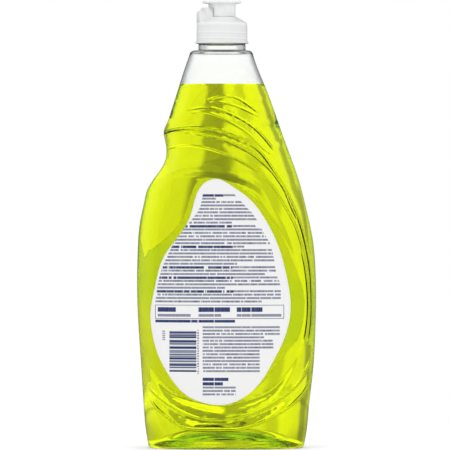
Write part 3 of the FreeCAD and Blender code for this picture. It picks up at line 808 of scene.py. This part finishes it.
def label_film(name, outer_share, inner_share, ink_mask, ink_colour):
    """White satin film, printed on its outer face; each face lets a share of the light through."""
    material, nodes, shader, output = new_material(name, {})
    outer = nodes.stored("printed")
    ink = nodes.times(outer, ink_mask(nodes))
    colour = nodes.mix(ink, (*settings().label_white, 1), (*ink_colour, 1))
    nodes.set(shader, "Base Color", colour)
    add_surface(nodes, shader, scale=90.0, wave=0.03, roughness=0.38, wander=0.1)
    glow = nodes.add("BsdfTranslucent", inputs={"Color": colour})
    share = nodes.pick(outer, inner_share, outer_share)
    nodes.set(output, "Surface", nodes.blend(share, shader.outputs[0], glow.outputs[0]))
    return material


# Labels

def wall_y(x, z, far):
    """Distance of the outer wall from the middle plane: the superellipse solved for y."""
    middle, wide, deep, square = section(z, 0)
    share = np.clip(1 - abs((x - middle) / wide) ** square, 0, 1) ** (1 / square)
    return (deep - relief(x, z, far)) * share


def label_mesh(name, side, spokes=240, rings=60):
    """A drop-shaped film: rays from its middle out to the outline, laid on the wall, with a rounded rim."""
    size = settings()
    knots = LABEL_OUTLINE[-2:] + LABEL_OUTLINE + LABEL_OUTLINE[:3]
    at = 2 + np.arange(spokes) / spokes * len(LABEL_OUTLINE)
    out_x, out_z = (spline([(k, knot[axis]) for k, knot in enumerate(knots)], at) for axis in (0, 1))
    middle = np.array([size.label_middle, size.label_bottom + size.label_height * FAN_HEIGHT])
    edge = np.stack([size.label_middle + out_x * size.label_width / 2,
                     size.label_bottom + out_z * size.label_height], axis=1)
    reach = edge - middle
    share = np.linspace(0.02, 1, rings)[:, None, None] ** 0.8
    x, z = np.moveaxis(middle + reach * share, 2, 0)
    film = size.label_film
    far = float(side > 0)
    near = wall_y(x, z, far) + size.label_gap
    outer = np.stack([x, side * (near + film), z], axis=2)
    inner = np.stack([x, side * near, z], axis=2)
    shrink = 1 - RIM_ROUND / np.hypot(*reach.T)
    outer[-1, :, ::2] = middle + reach * shrink[:, None]
    rim = np.stack([edge[:, 0], side * (near[-1] + film * 0.6), edge[:, 1]], axis=1)[None]
    piece = ring_mesh(name, [outer, rim, inner[::-1]])
    x, y, z = mesh_points(piece).T
    heights, left, right = (np.array(column) * MM for column in zip(*TEXT_EDGES))
    left, right = np.interp(z, heights, left), np.interp(z, heights, right)
    add_attribute(piece, "text_inset", np.minimum(x - left, right - x))
    add_attribute(piece, "text_share", (x - left) / (right - left))
    add_attribute(piece, "printed", abs(y) > wall_y(x, z, far) + size.label_gap + film * 0.5)
    return piece


# Settings, operators and the panel

def length(label, text, value):
    """A setting in millimetres, kept in metres."""
    return bpy.props.FloatProperty(name=label, description=text, default=value * MM,
                                   unit="LENGTH", subtype="DISTANCE", precision=5)


def amount(label, text, value):
    """A setting that is a plain number."""
    return bpy.props.FloatProperty(name=label, description=text, default=value)


def tint(label, text, *value):
    """A setting that is a colour."""
    return bpy.props.FloatVectorProperty(name=label, description=text, subtype="COLOR",
                                         default=value, min=0.0, max=1.0)


class SoapBottleSettings(bpy.types.PropertyGroup):
    """Sizes and colours of the bottle and its stage."""

    body_height: length("Body height", "Height of the blown body up to its shoulder", 249.3)
    body_width: length("Body width", "Width of the body at its widest", 112)
    body_depth: length("Body depth", "Depth of the body without its panels", 70)
    body_wall: length("Wall", "Thickness of the blown wall", 0.6)
    shoulder_round: length("Shoulder round", "Height of the rounded rim of the shoulder", 2.8)
    shoulder_inset: length("Shoulder inset", "How far the rim draws in", 3.4)
    heel_round: length("Heel round", "Radius between wall and foot", 2.5)
    foot_ring: length("Foot ring", "Width of the flat ring it stands on", 2)
    push_up: length("Push-up", "Height of the pushed-up base", 12.7)
    panel_recess: length("Panel recess", "Depth of the label panel", 1.3)
    panel_edge: length("Panel edge", "Width of the panel's sloping edge", 4)
    swoosh_depth: length("Swoosh depth", "Depth of the long sweep over the panel", 1.7)
    leaf_depth: length("Leaf depth", "Depth of the leaf over the sweep", 1.1)
    tip_depth: length("Tip depth", "Depth of the topmost leaf", 0.8)
    skirting_depth: length("Skirting depth", "Depth of the band under the panel", 0.8)
    far_share: amount("Far side relief", "Share of the hollows' depth on the far side", 0.1)
    far_rim: amount("Far rim", "How many times wider the panel's step is on the hidden side", 2.5)
    fill_height: length("Fill height", "Height of the liquid's surface", 227.86)
    wall_overlap: length("Wet overlap", "How far the liquid reaches into the wall", 0.15)
    label_width: length("Label width", "Width of each label", 87.5)
    label_height: length("Label height", "Height of each label", 140.5)
    label_bottom: length("Label bottom", "Height of each label's lowest point", 27.7)
    label_middle: length("Label middle", "Sideways place of each label", -3.9)
    label_film: length("Label film", "Thickness of the label film", 0.15)
    label_gap: length("Label gap", "Gap between wall and film", 0.12)
    neck_offset: length("Neck offset", "Sideways place of the neck", -3.0)
    collar_radius: length("Collar radius", "Radius of the collar under the finish", 14.8)
    collar_height: length("Collar height", "Height of the collar", 4)
    collar_wall: length("Collar wall", "Thickness of the collar", 1.2)
    finish_radius: length("Finish radius", "Radius at the root of the thread", 12.5)
    bore_radius: length("Bore radius", "Radius of the neck's bore", 10.8)
    lip_height: length("Lip height", "Height of the lip over the shoulder", 16.7)
    lip_round: length("Lip round", "Rounding of the lip and the collar", 0.5)
    thread_pitch: length("Thread pitch", "Rise of the thread in one turn", 3.175)
    thread_reach: length("Thread reach", "How far the thread stands out", 1.1)
    thread_foot: length("Thread foot", "Width of the thread at its root", 1.6)
    thread_crest: length("Thread crest", "Width of the thread at its crest", 0.8)
    thread_start: length("Thread start", "Start of the thread over the shoulder", 7.2)
    thread_turns: amount("Thread turns", "Turns of the thread", 1.75)
    liquid_colour: tint("Liquid colour", "Colour that the liquid lets through", 0.994, 0.997, 0)
    liquid_density: amount("Liquid density", "How strongly the liquid absorbs, per metre", 700)
    label_white: tint("Label white", "Colour of the label film", 0.92, 0.92, 0.92)
    ink_colour: tint("Ink colour", "Colour of the back label's print", 0.006, 0.028, 0.16)
    field_colour: tint("Field colour", "Colour of the front label's plain field", 0.82, 0.91, 0.35)
    closure_colour: tint("Closure colour", "Colour of the closure's plastic", 0.93, 0.935, 0.94)
    spout_colour: tint("Spout colour", "Colour of the spout's plastic", 0.94, 0.945, 0.95)


class SOAP_OT_bottle(bpy.types.Operator):
    """Build the clear blown bottle with its neck"""
    bl_idname = "soap_bottle.bottle"
    bl_label = "Bottle"

    columns = 260
    inner_coarseness = 2.3

    def execute(self, context):
        size = settings()
        angles = girth_angles(self.columns)
        top = size.body_height - size.shoulder_round
        dome_shares = np.linspace(DOME_START, 1, 18)

        def shell(inset, coarse, arc_steps, shares):
            levels = wall_levels(size.heel_round, top, coarse)
            return [*foot_rings(inset, angles, arc_steps, shares),
                    body_rings(levels, levels, inset, 0, angles, relieved=True),
                    crown_rings(inset, angles, arc_steps)]

        outer = shell(0, 1, 6, dome_shares)
        inner = shell(size.body_wall, self.inner_coarseness, 4, dome_shares[::2])
        inward = [rings[::-1] for rings in reversed(inner)]
        piece = ring_mesh("bottle_wall", outer + neck_outside(angles) + [neck_inside(angles)] + inward)
        points = mesh_points(piece)
        for number, (line, strength) in enumerate(CREASES):
            add_attribute(piece, f"crease_{number}", crease_field(points, line, strength))
        place(piece, "bottle", "filled_bottle", "clear_bottle", clear_plastic())
        return {"FINISHED"}


class SOAP_OT_liquid(bpy.types.Operator):
    """Fill the bottle with dish soap up to its level"""
    bl_idname = "soap_bottle.liquid"
    bl_label = "Liquid"

    columns = 240
    coarseness = 1.5
    surface_shares = [0.9, 0.6, 0.3]

    def execute(self, context):
        size = settings()
        angles = girth_angles(self.columns)
        inset = size.body_wall - size.wall_overlap
        fill = size.fill_height
        levels = wall_levels(size.heel_round, fill, self.coarseness)
        rings = foot_rings(inset, angles, 4, np.linspace(DOME_START, 1, 10))
        rings.append(body_rings(levels, levels, inset, 0, angles, relieved=True))
        rings.append(body_rings(fill, fill, inset, 0, angles, self.surface_shares))
        place(ring_mesh("soap_fill", rings), "soap", "filled_bottle", "soap_liquid", soap_liquid())
        return {"FINISHED"}


class SOAP_OT_labels(bpy.types.Operator):
    """Lay the two drop-shaped labels in their panels"""
    bl_idname = "soap_bottle.labels"
    bl_label = "Labels"

    def execute(self, context):
        look = settings()
        back = label_film("back_label_print", 0.12, 0.12, add_print, look.ink_colour)
        front = label_film("front_label_print", 0.68, 1, add_front_field, look.field_colour)
        for node, side, film in (("back_label", -1, back), ("front_label", 1, front)):
            place(label_mesh(node + "_film", side), node, "filled_bottle", "label_film", film)
        return {"FINISHED"}


class SOAP_OT_closure(bpy.types.Operator):
    """Put on the washer, the screw closure and the pull spout"""
    bl_idname = "soap_bottle.closure"
    bl_label = "Closure"

    def execute(self, context):
        look = settings()
        # The closure's colour carries painted highlights and painted shade in bands over its thread
        closure = milky_plastic("natural_closure_plastic", look.closure_colour, 0.16, 0.25, painted_shading=True)
        spout = milky_plastic("natural_spout_plastic", look.spout_colour, 0.12, 0.3)
        place(smooth_copy("seal_ring", "washer_disc"), "seal_ring", "washer", "washer_foam", foam())
        place(smooth_copy("closure", "screw_closure_moulding"), "closure", "screw_closure",
              "natural_closure", closure)
        place(smooth_copy("pull_spout", "pull_spout_moulding"), "pull_spout", "spout",
              "natural_spout", spout)
        return {"FINISHED"}


class SOAP_OT_stage(bpy.types.Operator):
    """Lay the pale floor, light it softly and set the camera where the photograph was taken"""
    bl_idname = "soap_bottle.stage"
    bl_label = "Stage"

    plain_light = 0.9
    middle_height = 0.14
    dry_crossings = 4
    glass_bounces = 28
    # Brightness of the studio by direction in degrees: behind the liquid, by rise, behind the empty part
    behind_levels = ((-90, 1), (-60, 1), (-47, 0.9), (-40, 0.42), (-34, 0.42), (-28, 1.1), (-14, 1.2),
                     (-11, 0.85), (-8, 0.85), (-5, 1.15), (-2, 1.1), (0.5, 0.4), (6.5, 0.4), (9.5, 1),
                     (45, 1.2), (56, 1.1), (61, 0.5), (66, 1), (90, 1))
    rise_levels = ((-90, 1.5), (-24, 1.4), (-14, 1.05), (-4, 1), (0.5, 1), (4, 0.6), (10, 0.6),
                   (15, 1), (28, 1.5), (90, 1.5))
    clear_levels = ((-90, 0.95), (-58, 0.9), (-44, 0.6), (-6, 0.65), (-2.5, 1.15), (2.5, 1.15), (6, 0.65),
                    (44, 0.6), (58, 0.9), (90, 0.95))
    gloss_level = 0.1
    edge_level = 0.38
    floor_radii = (0.05, 0.2, 0.4, 1, 3, 12, 60)
    floor_thickness = 0.01
    # Lamps: name, place, turn, watts
    lamps = (("key_lamp", (-1.1, -1.2, 1.3), (0.9, 0, -0.75), 6),
             ("fill_lamp", (1.3, -1.0, 0.9), (1.1, 0, 0.9), 4),
             ("back_lamp", (0.2, 1.6, 0.9), (-1.1, 0, 0.1), 13))
    lamp_size = 1.2
    camera_distance = 3.1
    camera_side = -0.0011
    camera_height = 0.13965
    view_width = 0.2828
    sensor = 0.036

    def execute(self, context):
        scene = context.scene
        self.add_floor()
        self.add_world(scene)
        self.add_lamps(scene)
        self.add_camera(scene)
        scene.view_settings.view_transform = "Standard"
        scene.cycles.max_bounces = self.glass_bounces
        scene.cycles.transmission_bounces = self.glass_bounces
        return {"FINISHED"}

    def add_floor(self):
        """A round floor: plain and pale near the bottle, fading to the white background further out."""
        angles = np.linspace(0, 2 * np.pi, 97)[:-1]
        radii = np.array(self.floor_radii)[:, None]
        x, y = radii * np.cos(angles), radii * np.sin(angles)
        top = np.stack([x, y, np.zeros_like(x)], axis=2)
        floor = ring_mesh("floor", [top, top[::-1] - np.array([0, 0, self.floor_thickness])])
        material, nodes, shader, output = new_material("pale_floor", {
            "Base Color": (0.9, 0.9, 0.9, 1), "Roughness": 0.9,
            "Emission Color": (1, 1, 1, 1), "Emission Strength": 0.2})
        spot = nodes.spot()
        reach = nodes.add("VectorMath", operation="LENGTH", inputs={0: spot})
        far = nodes.ramp(reach.outputs["Value"], 0.12, 0.4)
        way = nodes.add("VectorMath", operation="SUBTRACT", inputs={0: spot, 1: (0, 0, self.middle_height)})
        rays = nodes.add("LightPath").outputs
        level = self.seen_level(nodes, rays, way.outputs[0], 1, 0)
        bent = nodes.larger(rays["Is Glossy Ray"], rays["Is Transmission Ray"])
        white = nodes.add("Emission", inputs={"Color": (1, 1, 1, 1), "Strength": level})
        blend = nodes.blend(nodes.larger(far, bent), shader.outputs[0], white.outputs[0])
        nodes.set(output, "Surface", blend)
        floor.data.materials.append(material)

    def seen_level(self, nodes, rays, direction, plain, own_bounce):
        """White to the camera, boxes and gaps to clear plastic, dim to gloss, `plain` to the rest."""
        unit = nodes.add("VectorMath", operation="NORMALIZE", inputs={0: direction})
        right, ahead, up = nodes.split(unit.outputs[0])
        azimuth = nodes.math("DEGREES", nodes.math("ARCTAN2", right, nodes.math("ABSOLUTE", ahead)))
        elevation = nodes.math("DEGREES", nodes.math("ARCSINE", up))
        crossings = rays["Transmission Depth"]
        mirrored = nodes.math("GREATER_THAN", nodes.minus(rays["Ray Depth"], crossings), own_bounce + 0.5)
        glint = nodes.ramp(ahead, -0.2, 0.2, self.gloss_level, self.edge_level)
        dry = nodes.pick(mirrored, nodes.stops(azimuth, -90, 90, self.clear_levels), glint)
        wet = nodes.math("GREATER_THAN", crossings, self.dry_crossings + 0.5)
        behind = nodes.times(nodes.stops(azimuth, -90, 90, self.behind_levels),
                             nodes.stops(elevation, -90, 90, self.rise_levels))
        level = nodes.pick(rays["Is Glossy Ray"], plain, self.gloss_level)
        level = nodes.pick(rays["Is Transmission Ray"], level, nodes.pick(wet, dry, behind))
        return nodes.pick(rays["Is Camera Ray"], level, 1)

    def add_world(self, scene):
        """A plain studio for light, white to the camera, seen by direction through plastic and liquid."""
        world = bpy.data.worlds.new("studio")
        scene.world = world
        world.use_nodes = True
        world.node_tree.nodes.clear()
        nodes = Nodes(world.node_tree)
        way = nodes.add("TexCoord").outputs["Generated"]
        rays = nodes.add("LightPath").outputs
        level = self.seen_level(nodes, rays, way, self.plain_light, 1)
        back = nodes.add("Background", inputs={"Color": (1, 1, 1, 1), "Strength": level})
        nodes.add("OutputWorld", inputs={"Surface": back.outputs[0]})

    def add_lamps(self, scene):
        """Soft area lamps: one to each side in front, and one behind that shines on the front label."""
        for name, spot, turn, power in self.lamps:
            lamp = bpy.data.lights.new(name, "AREA")
            lamp.energy = power
            lamp.size = self.lamp_size
            holder = bpy.data.objects.new(name, lamp)
            holder.location = spot
            holder.rotation_euler = turn
            holder.visible_glossy = False
            holder.visible_transmission = False
            scene.collection.objects.link(holder)

    def add_camera(self, scene):
        """Level with the middle of the picture, far enough back that the bottle shows without taper."""
        camera = bpy.data.cameras.new("photo_camera")
        camera.sensor_width = self.sensor / MM
        camera.lens = self.sensor * self.camera_distance / self.view_width / MM
        camera.clip_end = 200
        holder = bpy.data.objects.new("photo_camera", camera)
        holder.location = (self.camera_side, -self.camera_distance, self.camera_height)
        holder.rotation_euler = (np.pi / 2, 0, 0)
        scene.collection.objects.link(holder)
        scene.camera = holder


class SOAP_PT_panel(bpy.types.Panel):
    """The sidebar panel that lists the steps"""
    bl_idname = "SOAP_PT_panel"
    bl_label = "Dish Soap Bottle"
    bl_space_type = "VIEW_3D"
    bl_region_type = "UI"
    bl_category = "Soap Bottle"

    def draw(self, context):
        for operator in OPERATORS:
            self.layout.operator(operator.bl_idname)
        for name in ("fill_height", "liquid_colour", "liquid_density", "label_white", "ink_colour",
                     "field_colour", "closure_colour", "spout_colour"):
            self.layout.prop(settings(), name)


OPERATORS = (SOAP_OT_bottle, SOAP_OT_liquid, SOAP_OT_labels, SOAP_OT_closure, SOAP_OT_stage)
CLASSES = (SoapBottleSettings, *OPERATORS, SOAP_PT_panel)


def register():
    for entry in CLASSES:
        bpy.utils.register_class(entry)
    bpy.types.Scene.soap_bottle = bpy.props.PointerProperty(type=SoapBottleSettings)


def unregister():
    del bpy.types.Scene.soap_bottle
    for entry in reversed(CLASSES):
        bpy.utils.unregister_class(entry)


def main():
    """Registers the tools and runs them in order."""
    register()
    for step in (bpy.ops.soap_bottle.bottle, bpy.ops.soap_bottle.liquid, bpy.ops.soap_bottle.labels,
                 bpy.ops.soap_bottle.closure, bpy.ops.soap_bottle.stage):
        step()


if __name__ == "__main__":
    main()
